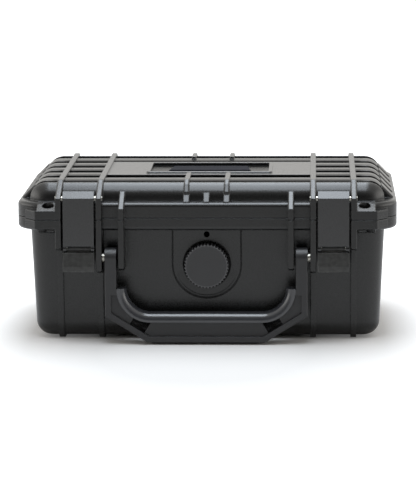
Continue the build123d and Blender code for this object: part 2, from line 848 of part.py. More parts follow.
def lever(side):
    """The lower piece of a latch: a finger lip with a nose that snaps under the tub's keeper."""
    with BuildPart() as made:
        add(plate(lip_outline, side * latch_x, latch_width))
        for end in sides:
            ear_x = side * latch_x + end * (latch_half - cheek / 2)
            half = cheek / 2 + side_gap
            add(
                rod(lever_pin_y, lever_pin_z, lever_ear_r + side_gap, ear_x - half, ear_x + half),
                mode=Mode.SUBTRACT,
            )
        add(plate(nose_outline, side * latch_x, 2 * lever_inner_half))
        add(latch_rod(side, lever_pin_y, lever_pin_z, lever_barrel_r, lever_inner_half))
        add(
            latch_rod(side, lever_pin_y, lever_pin_z, lever_pin_r + running, latch_width),
            mode=Mode.SUBTRACT,
        )
    return made.part


clasps = {}
levers = {}
lever_pins = {}
for side, word in ((-1, "left"), (1, "right")):
    clasps[word] = clasp(side)
    clasps[word].label = f"latch_clasp_{word}"
    levers[word] = lever(side)
    levers[word].label = f"latch_lever_{word}"
    lever_pins[word] = latch_rod(side, lever_pin_y, lever_pin_z, lever_pin_r, latch_half)
    lever_pins[word].label = f"lever_pin_{word}"

with BuildPart() as latch_pins:
    for side in sides:
        half_pin = (bay_outer_x - bay_inner_x) / 2 + rib_width + pin_end
        add(latch_rod(side, latch_pin_y, latch_pin_z, latch_pin_r, half_pin))
latch_pins.part.label = "latch_pins"

# ---------------------------------------------------------------- handle

handle_back_y = pivot_y + handle_thickness / 2
arm_top_z = pivot_z + handle_thickness / 2
handle_outline = (
    (-arm_outer_x, arm_top_z),
    (-arm_outer_x, handle_bottom_z + bow_slope_rise),
    (bow_slope_run - arm_outer_x, handle_bottom_z),
    (arm_outer_x - bow_slope_run, handle_bottom_z),
    (arm_outer_x, handle_bottom_z + bow_slope_rise),
    (arm_outer_x, arm_top_z),
)


def grip_opening(growth):
    """The rounded opening above the grip, down from the step in the arms, grown outwards."""
    with BuildSketch() as made:
        with BuildLine():
            half_x, low_z = step_x + growth, step_z - grip_bend_r - growth
            bend = grip_bend_r + growth
            Polyline((half_x - bend, low_z), (bend - half_x, low_z))
            RadiusArc((bend - half_x, low_z), (-half_x, low_z + bend), bend)
            Polyline(
                (-half_x, low_z + bend),
                (-half_x, arm_top_z + 1),
                (half_x, arm_top_z + 1),
                (half_x, low_z + bend),
            )
            RadiusArc((half_x, low_z + bend), (half_x - bend, low_z), bend)
        make_face()
    return made.sketch


def handle_blank(strip):
    """The outer outline of the handle, drawn in by strip."""
    with BuildSketch() as made:
        with BuildLine():
            Polyline(*handle_outline, close=True)
        make_face()
        if strip:
            offset(amount=-strip, kind=Kind.INTERSECTION)
    return made.sketch


with BuildPart() as grip_region:
    with BuildSketch(front_plane(handle_back_y)):
        add(grip_opening(step_width))
        add(grip_opening(0), mode=Mode.SUBTRACT)
        with Locations((0, (step_z + arm_top_z + 2) / 2)):
            Rectangle(4 * arm_outer_x, arm_top_z + 2 - step_z, mode=Mode.SUBTRACT)
    extrude(amount=handle_thickness)

with BuildPart() as handle_grip:
    add(grip_region.part)
    inner_edges = [
        e
        for e in handle_grip.edges().filter_by(GeomType.LINE).filter_by(Axis.X)
        if abs(e.center().Z - (step_z - grip_bend_r)) < 0.01 and e.length > grip_bend_r
    ]
    arcs = handle_grip.edges().filter_by(GeomType.CIRCLE)
    bend_edges = [e for e in arcs if abs(e.radius - grip_bend_r) < 0.01]
    fillet(inner_edges + bend_edges, grip_round)
handle_grip.part.label = "handle_grip"

with BuildPart() as side_profile:
    with BuildSketch(side_plane(-arm_outer_x - 1)):
        with Locations((pivot_y, (pivot_z + handle_bottom_z) / 2)):
            Rectangle(handle_thickness, pivot_z - handle_bottom_z)
        with Locations((pivot_y, pivot_z)):
            Circle(handle_thickness / 2)
    extrude(amount=2 * arm_outer_x + 2)

slope_angle = Vector(bow_slope_run, bow_slope_rise).get_angle(Vector(1, 0))
slot_z = handle_bottom_z + bow_slope_rise * (1 - slot_inset / bow_slope_run)


def bow_pocket():
    """The region between the bow's outer strip and the grip's curved ends."""
    with BuildSketch() as made:
        add(handle_blank(bow_strip))
        add(grip_opening(step_width), mode=Mode.SUBTRACT)
        pocket_top_z = step_z - bow_pocket_drop
        with Locations((0, (pocket_top_z + arm_top_z) / 2)):
            Rectangle(4 * arm_outer_x, arm_top_z - pocket_top_z, mode=Mode.SUBTRACT)
    return made.sketch


def bow_slots():
    """The two slots along the bow's sloping corners."""
    with BuildSketch() as made:
        with Locations(
            Location((slot_inset - arm_outer_x, slot_z), -slope_angle),
            Location((arm_outer_x - slot_inset, slot_z), slope_angle),
        ):
            Rectangle(slot_length, 4 * bow_strip + 2 * step_width)
        add(bow_pocket(), mode=Mode.INTERSECT)
    return made.sketch


with BuildPart() as handle_bow:
    with BuildSketch(front_plane(handle_back_y)):
        add(handle_blank(0))
        add(grip_opening(0), mode=Mode.SUBTRACT)
        with Locations((0, (step_z + arm_top_z + 1) / 2)):
            Rectangle(2 * arm_inner_x, arm_top_z + 1 - step_z, mode=Mode.SUBTRACT)
    extrude(amount=handle_thickness)
    flat_edges = [e for face in handle_bow.faces().filter_by(Axis.Y) for e in face.edges()]
    fillet([e for e in flat_edges if e.center().Z < arm_top_z - 0.1], bow_round)
    add(side_profile.part, mode=Mode.INTERSECT)
    add(grip_region.part, mode=Mode.SUBTRACT)
    # a shallow pocket inside the front's outer strip, open right through at the two corners
    with BuildSketch(front_plane(pivot_y - handle_thickness / 2 + bow_pocket_depth)):
        add(bow_pocket())
    extrude(amount=2 * bow_pocket_depth, mode=Mode.SUBTRACT)
    with BuildSketch(front_plane(handle_back_y + 1)):
        add(bow_slots())
    extrude(amount=handle_thickness + 2, mode=Mode.SUBTRACT)
    for side in sides:
        stop_x = side * (arm_inner_x + handle_pin_stop)
        add(rod(pivot_y, pivot_z, handle_pin_r + running, stop_x, side * rib_inner_x), mode=Mode.SUBTRACT)
handle_bow.part.label = "handle_bow"

with BuildPart() as handle_pins:
    for side in sides:
        pin_from = arm_inner_x + handle_pin_stop + pin_end
        add(rod(pivot_y, pivot_z, handle_pin_r, side * pin_from, side * (bay_inner_x - pin_end)))
handle_pins.part.label = "handle_pins"

# ---------------------------------------------------------------- pressure valve

knob_back_y = dish_floor_y - knob_gap
knob_face_y = knob_back_y - knob_height
bush_face_y = dish_floor_y - bush_flange
bush_end_y = dish_floor_y + bush_length
bush_seat_y = bush_end_y - bush_seat
inner_wall_y = front_root_y + wall / 2 + dish_depth + wall / 2


def disc(y_from, y_to, radius, bore=0.0):
    """A round disc or ring on the valve's axis, between two depths."""
    with BuildPart() as made:
        with BuildSketch(front_plane(max(y_from, y_to))):
            with Locations((0, valve_z)):
                Circle(radius)
                if bore:
                    Circle(bore, mode=Mode.SUBTRACT)
        extrude(amount=abs(y_to - y_from))
    return made.part


with BuildPart() as valve_bush:
    add(disc(bush_face_y, dish_floor_y, bush_flange_r))
    add(disc(dish_floor_y, bush_end_y, bush_r))
    add(disc(bush_face_y - 1, bush_end_y + 1, stem_r + running), mode=Mode.SUBTRACT)
    add(disc(bush_seat_y, bush_end_y + 1, bush_seat_r), mode=Mode.SUBTRACT)
valve_bush.part.label = "valve_bush"

with BuildPart() as valve_nut:
    with BuildSketch(front_plane(inner_wall_y + nut_thickness)):
        with Locations((0, valve_z)):
            RegularPolygon(nut_flats / 2, 6, major_radius=False)
            Circle(bush_r + running, mode=Mode.SUBTRACT)
    extrude(amount=nut_thickness)
valve_nut.part.label = "valve_nut"

valve_membrane = disc(bush_seat_y, bush_seat_y + membrane_thickness, bush_seat_r - running)
valve_membrane.label = "valve_membrane"
valve_clip = disc(bush_seat_y + membrane_thickness, bush_end_y - running, bush_seat_r - running, clip_bore_r)
valve_clip.label = "valve_clip"

with BuildPart() as valve_o_ring:
    with BuildSketch(side_plane(0)):
        with Locations((dish_floor_y - o_ring_section_r - running, valve_z + o_ring_r)):
            Circle(o_ring_section_r)
    revolve(axis=Axis((0, 0, valve_z), (0, 1, 0)))
valve_o_ring.part.label = "valve_o_ring"

with BuildPart() as valve_knob:
    with BuildSketch(front_plane(knob_back_y)):
        with Locations((0, valve_z)):
            Circle(knob_r)
            with PolarLocations(knob_r, knob_teeth):
                Circle(knob_notch_r, mode=Mode.SUBTRACT)
    extrude(amount=knob_back_y - knob_face_y)
    add(disc(knob_back_y - knob_recess, knob_back_y + 1, knob_recess_r), mode=Mode.SUBTRACT)
    add(disc(knob_back_y - knob_recess - 1, bush_seat_y - stem_end_gap, stem_r))
valve_knob.part.label = "valve_knob"

# ---------------------------------------------------------------- foam

foam_floor_z = rail_height + wall + foam_gap
foam_corner_round = tub_floor_round - wall - foam_gap
tray_floor_z = foam_floor_z + pad_thickness
tray_top_z = seam_z - tray_drop
lining_half_x = body_width / 2 - wall - foam_gap
drone_pocket_x = drone_pocket_wall + drone_pocket_size[0] / 2 - lining_half_x
cell_pocket_x = lining_half_x - cell_pocket_wall - cell_pocket_size[0] / 2
tub_lining = tub_form(wall + foam_gap, foam_floor_z, foam_corner_round)
valve_room = disc(-wall_y, bush_end_y + foam_gap, boss_r + foam_gap)

with BuildPart() as base_foam_pad:
    add(tub_lining & block((-body_width, body_width), (-body_depth, body_depth), (0, tray_floor_z)))
base_foam_pad.part.label = "base_foam_pad"

with BuildPart() as base_foam:
    add(
        tub_lining
        & block((-body_width, body_width), (-body_depth, body_depth), (tray_floor_z + side_gap, tray_top_z))
    )
    with BuildSketch(Plane.XY.offset(tray_top_z)):
        with Locations((drone_pocket_x, 0)):
            RectangleRounded(*drone_pocket_size, pocket_corner)
    extrude(amount=-drone_pocket_depth, mode=Mode.SUBTRACT)
    with BuildSketch(Plane.XY.offset(tray_top_z)):
        with Locations((cell_pocket_x, 0)):
            with GridLocations(0, cell_pocket_pitch, 1, cell_pocket_count):
                RectangleRounded(*cell_pocket_size, pocket_corner)
    extrude(amount=-cell_pocket_depth, mode=Mode.SUBTRACT)
    with BuildSketch(Plane.XY.offset(tray_top_z)):
        with Locations((drone_pocket_x + drone_pocket_size[0] / 2, 0)):
            Circle(finger_r)
    extrude(amount=-finger_depth, mode=Mode.SUBTRACT)
    add(valve_room, mode=Mode.SUBTRACT)
base_foam.part.label = "base_foam"

lid_foam_form = lid_form(wall + groove_depth / 2 + foam_gap)
with BuildPart() as lid_foam:
    add(
        lid_foam_form
        & block((-body_width, body_width), (-body_depth, body_depth), (seam_z + lid_foam_rise, case_height))
    )
lid_foam.part.label = "lid_foam"

pieces = [
    base_foam_pad.part,
    base_foam.part,
    lid_foam.part,
    handle_pins.part,
    valve_bush.part,
    valve_nut.part,
    valve_membrane,
    valve_clip,
    valve_o_ring.part,
    valve_knob.part,
    base_shell.part,
    lid_shell.part,
    hinge_pins.part,
    lid_gasket,
    label_plate.part,
    latch_pins.part,
    handle_grip.part,
    handle_bow.part,
]
for word in clasps:
    pieces += [clasps[word], levers[word], lever_pins[word]]

os.makedirs("parts", exist_ok=True)
for piece in pieces:
    print(piece.label, len(piece.solids()), round(piece.volume, 1), piece.is_valid)
    export_step(piece, f"parts/{piece.label}.step")
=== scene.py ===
"""The looks of a small waterproof drone case: moulded shells, steel pins, rubber seals and cut foam.

Metres, in the frame of the construction model: X runs right, Y from the latches to the hinges, Z up.
"""

import math

import bpy
import numpy as np
from mathutils import Matrix, Vector


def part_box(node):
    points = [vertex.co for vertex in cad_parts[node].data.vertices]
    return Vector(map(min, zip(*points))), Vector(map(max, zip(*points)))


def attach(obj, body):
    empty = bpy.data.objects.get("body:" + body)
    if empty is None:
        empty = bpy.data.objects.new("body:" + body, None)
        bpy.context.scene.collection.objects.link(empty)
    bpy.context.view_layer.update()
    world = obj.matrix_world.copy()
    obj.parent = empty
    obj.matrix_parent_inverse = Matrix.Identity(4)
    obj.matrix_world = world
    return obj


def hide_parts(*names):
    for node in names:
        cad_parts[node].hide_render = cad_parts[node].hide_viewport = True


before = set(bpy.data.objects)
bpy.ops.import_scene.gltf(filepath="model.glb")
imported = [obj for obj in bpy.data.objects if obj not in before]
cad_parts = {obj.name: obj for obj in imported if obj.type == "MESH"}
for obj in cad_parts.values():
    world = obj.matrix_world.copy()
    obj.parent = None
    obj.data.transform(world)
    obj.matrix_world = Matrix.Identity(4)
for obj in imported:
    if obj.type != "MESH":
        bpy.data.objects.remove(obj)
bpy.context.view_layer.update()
scene = bpy.context.scene

MM = 0.001

# ---------------------------------------------------------------- camera, light and floor

CAMERA_PLACE = (0.0592, -1.7545, 0.3067)
CAMERA_TURN = 0.03468       # radians about Z, to the left
CAMERA_PITCH = 0.14777      # radians down
CAMERA_ROLL = -0.00485
CAMERA_LENS = 227.6
CAMERA_FAR = 20

LAMP_PLACE = (0.0, 0.15, 1.2)
LAMP_AIM = (0, 0.15, 0)
LAMP_SIZE = (0.45, 1.8)
LAMP_WATTS = 15.0
LAMP_COLOUR = (0.83, 0.91, 1.0)

ROOM_COLOUR = (1, 0.985, 0.95)
WHITE = (1, 1, 1)
FRONT_FADE = (-0.95, -0.4)      # the room grows dim between these values of a direction's Y
PANEL_FADE = (0.75, 0.95)       # a side panel starts and is full at these values of its X

FLOOR_HALF_SIZE = 4.0
FLOOR_COLOUR = (0.88, 0.86, 0.84, 1)
SHADOW_MIDDLE = (0, -0.1, 0)    # the floor's glow grows outwards from here
SHADOW_NEAR, SHADOW_FAR = 0.09, 0.36
SHADOW_SQUEEZE = 1.5            # how much sooner the glow grows to the sides


def make_camera():
    """A long lens a little above the lid, turned slightly to the left."""
    data = bpy.data.cameras.new("view")
    data.lens = CAMERA_LENS
    data.clip_end = CAMERA_FAR
    camera = bpy.data.objects.new("view", data)
    scene.collection.objects.link(camera)
    turn = Matrix.Rotation(CAMERA_TURN, 4, "Z")
    tilt = Matrix.Rotation(math.pi / 2 - CAMERA_PITCH, 4, "X")
    roll = Matrix.Rotation(CAMERA_ROLL, 4, "Z")
    camera.matrix_world = Matrix.Translation(CAMERA_PLACE) @ turn @ tilt @ roll
    scene.camera = camera


def make_lamp():
    """A long soft box over the case, turned towards it."""
    data = bpy.data.lights.new("top_strip", "AREA")
    data.shape = "RECTANGLE"
    data.size, data.size_y = LAMP_SIZE
    data.energy = LAMP_WATTS
    data.color = LAMP_COLOUR
    lamp = bpy.data.objects.new("top_strip", data)
    lamp.location = LAMP_PLACE
    lamp.rotation_euler = (Vector(LAMP_AIM) - Vector(LAMP_PLACE)).to_track_quat("-Z", "Y").to_euler()
    scene.collection.objects.link(lamp)


def node(tree, kind, values=None, **settings):
    """A node of that kind, with its settings and the values of its input sockets."""
    made = tree.nodes.new(kind)
    for label, value in settings.items():
        setattr(made, label, value)
    for label, value in (values or {}).items():
        made.inputs[label].default_value = value
    return made


def wire(tree, *pairs):
    """Links, each from an output socket to an input socket."""
    for source, target in pairs:
        tree.links.new(source, target)


def colour_mix(tree, first, second):
    """A mix that its factor takes from the first colour to the second."""
    mix = node(tree, "ShaderNodeMix", data_type="RGBA")
    mix.inputs["A"].default_value = (*first, 1)
    mix.inputs["B"].default_value = (*second, 1)
    return mix


def make_world(fill, front, sides):
    """White to the camera. Reflections see white behind and above, a dimmer room in front and a bright
    panel at each side; the rest is plain grey light all round."""
    world = bpy.data.worlds.new("studio")
    scene.world = world
    world.use_nodes = True
    tree = world.node_tree
    tree.nodes.clear()
    path = node(tree, "ShaderNodeLightPath")
    direction = node(tree, "ShaderNodeTexCoord")
    axes = node(tree, "ShaderNodeSeparateXYZ")
    room = node(
        tree,
        "ShaderNodeMapRange",
        {"From Min": FRONT_FADE[0], "From Max": FRONT_FADE[1], "To Min": front, "To Max": 1.0},
    )
    across = node(tree, "ShaderNodeMath", operation="ABSOLUTE")
    panel = node(
        tree,
        "ShaderNodeMapRange",
        {"From Min": PANEL_FADE[0], "From Max": PANEL_FADE[1], "To Min": 0.0, "To Max": sides},
    )
    seen = node(tree, "ShaderNodeMath", operation="ADD")
    mirrored = node(tree, "ShaderNodeMath", operation="MAXIMUM")
    reflected = node(tree, "ShaderNodeMix", {"A": fill}, data_type="FLOAT")
    strength = node(tree, "ShaderNodeMix", {"B": 1.0}, data_type="FLOAT")
    colour = colour_mix(tree, ROOM_COLOUR, WHITE)
    background = node(tree, "ShaderNodeBackground")
    output = node(tree, "ShaderNodeOutputWorld")
    wire(
        tree,
        (direction.outputs["Generated"], axes.inputs[0]),
        (axes.outputs["Y"], room.inputs["Value"]),
        (axes.outputs["X"], across.inputs[0]),
        (across.outputs[0], panel.inputs["Value"]),
        (room.outputs["Result"], seen.inputs[0]),
        (panel.outputs["Result"], seen.inputs[1]),
        (path.outputs["Is Glossy Ray"], mirrored.inputs[0]),
        (path.outputs["Is Transmission Ray"], mirrored.inputs[1]),
        (mirrored.outputs[0], reflected.inputs["Factor"]),
        (seen.outputs[0], reflected.inputs["B"]),
        (reflected.outputs["Result"], strength.inputs["A"]),
        (path.outputs["Is Camera Ray"], strength.inputs["Factor"]),
        (path.outputs["Is Camera Ray"], colour.inputs["Factor"]),
        (strength.outputs["Result"], background.inputs["Strength"]),
        (colour.outputs["Result"], background.inputs["Color"]),
        (background.outputs[0], output.inputs["Surface"]),
    )


def make_floor(far_glow):
    """A pale floor that keeps the shadow. To the camera it also glows, from nothing near the case to the
    far glow, to meet the white."""
    mesh = bpy.data.meshes.new("floor")
    signs = ((-1, -1), (1, -1), (1, 1), (-1, 1))
    corners = [(x * FLOOR_HALF_SIZE, y * FLOOR_HALF_SIZE, 0) for x, y in signs]
    mesh.from_pydata(corners, [], [(0, 1, 2, 3)])
    floor = bpy.data.objects.new("floor", mesh)
    scene.collection.objects.link(floor)
    material = bpy.data.materials.new("floor_paper")
    material.use_nodes = True
    tree = material.node_tree
    tree.nodes.clear()
    place = node(tree, "ShaderNodeTexCoord")
    middle = Vector(SHADOW_MIDDLE)
    spread = node(tree, "ShaderNodeMapping", {"Location": -middle, "Scale": (SHADOW_SQUEEZE, 1, 1)})
    away = node(tree, "ShaderNodeVectorMath", operation="LENGTH")
    glow = node(
        tree,
        "ShaderNodeMapRange",
        {"From Min": SHADOW_NEAR, "From Max": SHADOW_FAR, "To Min": 0.0, "To Max": far_glow},
    )
    path = node(tree, "ShaderNodeLightPath")
    strength = node(tree, "ShaderNodeMath", operation="MULTIPLY")
    diffuse = node(tree, "ShaderNodeBsdfDiffuse", {"Color": FLOOR_COLOUR})
    emission = node(tree, "ShaderNodeEmission")
    both = node(tree, "ShaderNodeAddShader")
    output = node(tree, "ShaderNodeOutputMaterial")
    wire(
        tree,
        (place.outputs["Object"], spread.inputs["Vector"]),
        (spread.outputs[0], away.inputs[0]),
        (away.outputs["Value"], glow.inputs["Value"]),
        (path.outputs["Is Camera Ray"], strength.inputs[0]),
        (glow.outputs["Result"], strength.inputs[1]),
        (strength.outputs[0], emission.inputs["Strength"]),
        (diffuse.outputs[0], both.inputs[0]),
        (emission.outputs[0], both.inputs[1]),
        (both.outputs[0], output.inputs["Surface"]),
    )
    mesh.materials.append(material)


make_camera()
make_world(fill=0.5, front=0.08, sides=1.6)
make_floor(far_glow=0.7)
make_lamp()
scene.view_settings.view_transform = "Standard"

# ---------------------------------------------------------------- shared effects

BAND_FADE = 4 * MM


def new_group(name, inputs, outputs):
    """An empty node group. An input is (name, kind, default), an output (name, kind)."""
    group = bpy.data.node_groups.new(name, "ShaderNodeTree")
    for label, kind, default in inputs:
        socket = group.interface.new_socket(label, in_out="INPUT", socket_type=kind)
        if default is not None:
            socket.default_value = default
    for label, kind in outputs:
        group.interface.new_socket(label, in_out="OUTPUT", socket_type=kind)
    return group, group.nodes.new("NodeGroupInput"), group.nodes.new("NodeGroupOutput")


def sized_noise(group, size, settings):
    """Noise over the object, with features of the size that a socket gives."""
    place = node(group, "ShaderNodeTexCoord")
    scale = node(group, "ShaderNodeMath", operation="DIVIDE")
    scale.inputs[0].default_value = 1.0
    noise = node(group, "ShaderNodeTexNoise", settings)
    wire(
        group,
        (size, scale.inputs[1]),
        (place.outputs["Object"], noise.inputs["Vector"]),
        (scale.outputs[0], noise.inputs["Scale"]),
    )
    return noise.outputs["Fac"]


def grain_group():
    """Fine moulded grain: noise at the grain's size, as a bump and as a value from 0 to 1."""
    group, given, result = new_group(
        "moulded_grain",
        [
            ("Grain Size", "NodeSocketFloat", 0.4 * MM),
            ("Depth", "NodeSocketFloat", 0.03 * MM),
            ("Normal", "NodeSocketVector", None),
        ],
        [("Normal", "NodeSocketVector"), ("Grain", "NodeSocketFloat")],
    )
    noise = sized_noise(group, given.outputs["Grain Size"], {"Detail": 3.0, "Roughness": 0.6})
    bump = node(group, "ShaderNodeBump", {"Strength": 1.0})
    wire(
        group,
        (noise, bump.inputs["Height"]),
        (given.outputs["Depth"], bump.inputs["Distance"]),
        (given.outputs["Normal"], bump.inputs["Normal"]),
        (bump.outputs["Normal"], result.inputs["Normal"]),
        (noise, result.inputs["Grain"]),
    )
    return group


def edge_group():
    """Softened edges: the bevelled normal, and a mask that grows where it leaves the face's own, for paler
    edges that are partly rubbed wear and partly painted highlight.
    """
    group, given, result = new_group(
        "rubbed_and_lit_edges",
        [("Radius", "NodeSocketFloat", 0.4 * MM), ("Wear", "NodeSocketFloat", 1.0)],
        [("Normal", "NodeSocketVector"), ("Edge", "NodeSocketFloat")],
    )
    place = node(group, "ShaderNodeTexCoord")
    bevel = node(group, "ShaderNodeBevel", samples=6)
    face = node(group, "ShaderNodeNewGeometry")
    agree = node(group, "ShaderNodeVectorMath", operation="DOT_PRODUCT")
    differ = node(group, "ShaderNodeMapRange", {"From Min": 0.995, "From Max": 0.8})
    patches = node(group, "ShaderNodeTexNoise", {"Scale": 90.0, "Detail": 4.0})
    worn = node(group, "ShaderNodeMapRange", {"From Min": 0.35, "From Max": 0.65})
    rubbed_and_lit = node(group, "ShaderNodeMath", operation="MULTIPLY")
    amount = node(group, "ShaderNodeMath", operation="MULTIPLY")
    wire(
        group,
        (given.outputs["Radius"], bevel.inputs["Radius"]),
        (bevel.outputs["Normal"], agree.inputs[0]),
        (face.outputs["Normal"], agree.inputs[1]),
        (agree.outputs["Value"], differ.inputs["Value"]),
        (place.outputs["Object"], patches.inputs["Vector"]),
        (patches.outputs["Fac"], worn.inputs["Value"]),
        (differ.outputs["Result"], rubbed_and_lit.inputs[0]),
        (worn.outputs["Result"], rubbed_and_lit.inputs[1]),
        (rubbed_and_lit.outputs[0], amount.inputs[0]),
        (given.outputs["Wear"], amount.inputs[1]),
        (bevel.outputs["Normal"], result.inputs["Normal"]),
        (amount.outputs[0], result.inputs["Edge"]),
    )
    return group


def cloud_group():
    """Slow changes of tone over a surface: a value that wanders about one half."""
    group, given, result = new_group(
        "tone_clouds",
        [("Cloud Size", "NodeSocketFloat", 30 * MM)],
        [("Tone", "NodeSocketFloat")],
    )
    noise = sized_noise(group, given.outputs["Cloud Size"], {"Detail": 5.0, "Roughness": 0.55})
    wire(group, (noise, result.inputs["Tone"]))
    return group


def from_axis(group, middle):
    """The way from a middle to the surface, and how far out the surface lies from the front-to-back axis
    through that middle."""
    place = node(group, "ShaderNodeTexCoord")
    apart = node(group, "ShaderNodeVectorMath", operation="SUBTRACT")
    flat = node(group, "ShaderNodeVectorMath", operation="MULTIPLY")
    flat.inputs[1].default_value = (1, 0, 1)
    away = node(group, "ShaderNodeVectorMath", operation="LENGTH")
    wire(
        group,
        (place.outputs["Object"], apart.inputs[0]),
        (middle, apart.inputs[1]),
        (apart.outputs[0], flat.inputs[0]),
        (flat.outputs[0], away.inputs[0]),
    )
    return apart.outputs[0], away.outputs["Value"]


def hole_group():
    """The inside of a front-to-back hole: 1 within its radius and half its depth from its middle."""
    group, given, result = new_group(
        "front_hole",
        [
            ("Middle", "NodeSocketVector", None),
            ("Radius", "NodeSocketFloat", 1 * MM),
            ("Half Depth", "NodeSocketFloat", 1 * MM),
        ],
        [("Inside", "NodeSocketFloat")],
    )
    apart, away = from_axis(group, given.outputs["Middle"])
    axes = node(group, "ShaderNodeSeparateXYZ")
    close = node(group, "ShaderNodeMath", operation="LESS_THAN")
    along = node(group, "ShaderNodeMath", operation="ABSOLUTE")
    within = node(group, "ShaderNodeMath", operation="LESS_THAN")
    both = node(group, "ShaderNodeMath", operation="MULTIPLY")
    wire(
        group,
        (away, close.inputs[0]),
        (given.outputs["Radius"], close.inputs[1]),
        (apart, axes.inputs[0]),
        (axes.outputs["Y"], along.inputs[0]),
        (along.outputs[0], within.inputs[0]),
        (given.outputs["Half Depth"], within.inputs[1]),
        (close.outputs[0], both.inputs[0]),
        (within.outputs[0], both.inputs[1]),
        (both.outputs[0], result.inputs["Inside"]),
    )
    return group


def ring_group():
    """How far out a point lies from a front-to-back axis: 0 at the inner radius, 1 at the outer one."""
    group, given, result = new_group(
        "ring_from_axis",
        [
            ("Middle", "NodeSocketVector", None),
            ("Inner", "NodeSocketFloat", 1 * MM),
            ("Outer", "NodeSocketFloat", 2 * MM),
        ],
        [("Ring", "NodeSocketFloat")],
    )
    away = from_axis(group, given.outputs["Middle"])[1]
    ring = node(group, "ShaderNodeMapRange")
    wire(
        group,
        (away, ring.inputs["Value"]),
        (given.outputs["Inner"], ring.inputs["From Min"]),
        (given.outputs["Outer"], ring.inputs["From Max"]),
        (ring.outputs["Result"], result.inputs["Ring"]),
    )
    return group


def height_group():
    """A band of heights: 1 at the full height and beyond, 0 at the zero height, which may lie above or
    below it. It fades out past half a length and half a width from the middle."""
    group, given, result = new_group(
        "height_band",
        [
            ("Full", "NodeSocketFloat", 0.0),
            ("Zero", "NodeSocketFloat", 1 * MM),
            ("Half Length", "NodeSocketFloat", 1.0),
            ("Half Width", "NodeSocketFloat", 1.0),
        ],
        [("Band", "NodeSocketFloat")],
    )
    place = node(group, "ShaderNodeTexCoord")
    axes = node(group, "ShaderNodeSeparateXYZ")
    wire(group, (place.outputs["Object"], axes.inputs[0]))
    fall = node(group, "ShaderNodeMapRange", {"To Min": 1.0, "To Max": 0.0})
    wire(
        group,
        (axes.outputs["Z"], fall.inputs["Value"]),
        (given.outputs["Full"], fall.inputs["From Min"]),
        (given.outputs["Zero"], fall.inputs["From Max"]),
    )
    band = fall.outputs["Result"]
    for axis, half in (("X", "Half Length"), ("Y", "Half Width")):
        apart = node(group, "ShaderNodeMath", operation="ABSOLUTE")
        past = node(group, "ShaderNodeMath", operation="SUBTRACT")
        fade = node(group, "ShaderNodeMapRange", {"From Max": BAND_FADE, "To Min": 1.0, "To Max": 0.0})
        kept = node(group, "ShaderNodeMath", operation="MULTIPLY")
        wire(
            group,
            (axes.outputs[axis], apart.inputs[0]),
            (apart.outputs[0], past.inputs[0]),
            (given.outputs[half], past.inputs[1]),
            (past.outputs[0], fade.inputs["Value"]),
            (band, kept.inputs[0]),
            (fade.outputs["Result"], kept.inputs[1]),
        )
        band = kept.outputs[0]
    wire(group, (band, result.inputs["Band"]))
    return group


GRAIN = grain_group()
HEIGHTS = height_group()
EDGES = edge_group()
CLOUDS = cloud_group()
HOLE = hole_group()
RING = ring_group()


def use_group(tree, group, **values):
    """A node group placed in a material; an underscore in a name stands for a space."""
    placed = tree.nodes.new("ShaderNodeGroup")
    placed.node_tree = group
    for label, value in values.items():
        placed.inputs[label.replace("_", " ")].default_value = value
    return placed


def empty_material(name):
    """A material with only a Principled surface and its output."""
    material = bpy.data.materials.new(name)
    material.use_nodes = True
    tree = material.node_tree
    tree.nodes.clear()
    surface = tree.nodes.new("ShaderNodeBsdfPrincipled")
    output = tree.nodes.new("ShaderNodeOutputMaterial")
    tree.links.new(surface.outputs[0], output.inputs["Surface"])
    return material, tree, surface


# ---------------------------------------------------------------- materials

ROUGH_SWING = 0.05


def moulded_plastic(
    name,
    dark,
    light,
    rough,
    grain,
    depth,
    specular=0.5,
    wear=0.35,
    cloud=35 * MM,
    edge=2.6,
    soft=0.35 * MM,
):
    """Grained plastic: two tones in clouds, paler edges that are partly rubbed wear and partly painted
    highlight, and roughness that follows the grain.

    Grain, cloud and soft are the sizes of the grain, the clouds and the softened edges. Depth is the
    grain's height, wear is how much the edges are rubbed and lit, and edge how many times the light tone
    they show, as rubbed wear and painted highlight.
    """
    material, tree, surface = empty_material(name)
    edges = use_group(tree, EDGES, Radius=soft, Wear=wear)
    grains = use_group(tree, GRAIN, Grain_Size=grain, Depth=depth)
    clouds = use_group(tree, CLOUDS, Cloud_Size=cloud)
    tone = colour_mix(tree, dark, light)
    # paler edges: partly rubbed wear, partly painted highlight
    rubbed_and_lit = node(tree, "ShaderNodeMix", data_type="RGBA")
    rubbed_and_lit.inputs["B"].default_value = (*[edge * c for c in light], 1)
    shine = node(
        tree,
        "ShaderNodeMapRange",
        {"From Min": 0.3, "From Max": 0.7, "To Min": rough - ROUGH_SWING, "To Max": rough + ROUGH_SWING},
    )
    surface.inputs["Specular IOR Level"].default_value = specular
    wire(
        tree,
        (clouds.outputs["Tone"], tone.inputs["Factor"]),
        (tone.outputs["Result"], rubbed_and_lit.inputs["A"]),
        (edges.outputs["Edge"], rubbed_and_lit.inputs["Factor"]),
        (rubbed_and_lit.outputs["Result"], surface.inputs["Base Color"]),
        (grains.outputs["Grain"], shine.inputs["Value"]),
        (shine.outputs["Result"], surface.inputs["Roughness"]),
        (edges.outputs["Normal"], grains.inputs["Normal"]),
        (grains.outputs["Normal"], surface.inputs["Normal"]),
    )
    return material


